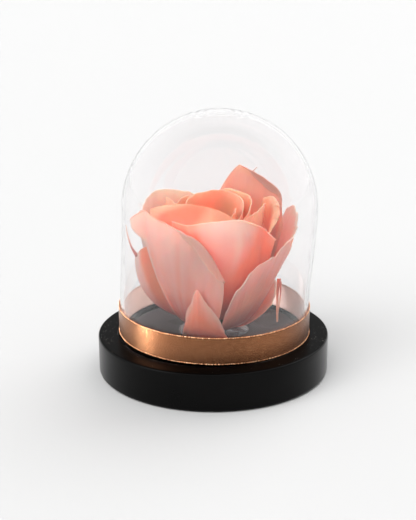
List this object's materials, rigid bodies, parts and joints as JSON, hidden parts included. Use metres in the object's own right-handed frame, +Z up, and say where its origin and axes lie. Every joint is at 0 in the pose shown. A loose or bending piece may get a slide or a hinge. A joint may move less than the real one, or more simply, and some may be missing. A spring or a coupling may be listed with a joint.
{
  "type": "preserved rose in glass dome",
  "caption": "Round black base with a clear glass dome standing in its groove, a copper satin ribbon round the foot of the glass, and a peach preserved rose glued inside.",
  "frame": {"origin": "centre of the underside of the round base", "axes": "+Z up along the axis of the base; +X to the viewer's right and -Y towards the viewer in the picture; +Z is also the longest side"},
  "size_m": [0.0872, 0.0872, 0.0993],
  "materials": {
    "base": "satin black paint, with fine dust",
    "glass": "clear, smooth, hand-made, with faint rings at the crown",
    "ribbon": "copper satin with a fine weave and looped edges",
    "glue": "cloudy clear hot-melt glue",
    "receptacle": "dull dry plant tissue",
    "petal_outer": "matt blush petals, darker and mauve low down, with pale edges and fine veins",
    "petal_inner": "matt peach petals with thin pale edges, red-orange in the gaps"
  },
  "bodies": {
    "root": {"base": "base", "glass_dome": "glass", "ribbon": "ribbon", "glue": "glue", "receptacle": "receptacle", "petal_front_small": "petal_outer", "petal_outer_right": "petal_outer", "petal_outer_left": "petal_outer", "petal_lower_right": "petal_outer", "petal_front_left": "petal_outer", "petal_back_outer_left": "petal_outer", "petal_right": "petal_outer", "petal_outer_left_back": "petal_outer", "petal_back_outer_right": "petal_outer", "petal_front": "petal_outer", "petal_back_left": "petal_outer", "petal_under_left": "petal_outer", "petal_back_right": "petal_outer", "petal_shred": "petal_outer", "petal_inner_roll_right": "petal_inner", "petal_inner_front": "petal_inner", "petal_inner_back_left": "petal_inner", "petal_inner_front_right": "petal_inner", "petal_inner_left": "petal_inner", "petal_inner_right_outer": "petal_inner", "petal_inner_back": "petal_inner", "petal_inner_right": "petal_inner", "petal_inner_small": "petal_inner", "petal_centre_outer": "petal_inner", "petal_centre_inner": "petal_inner"}
  },
  "joints": []
}
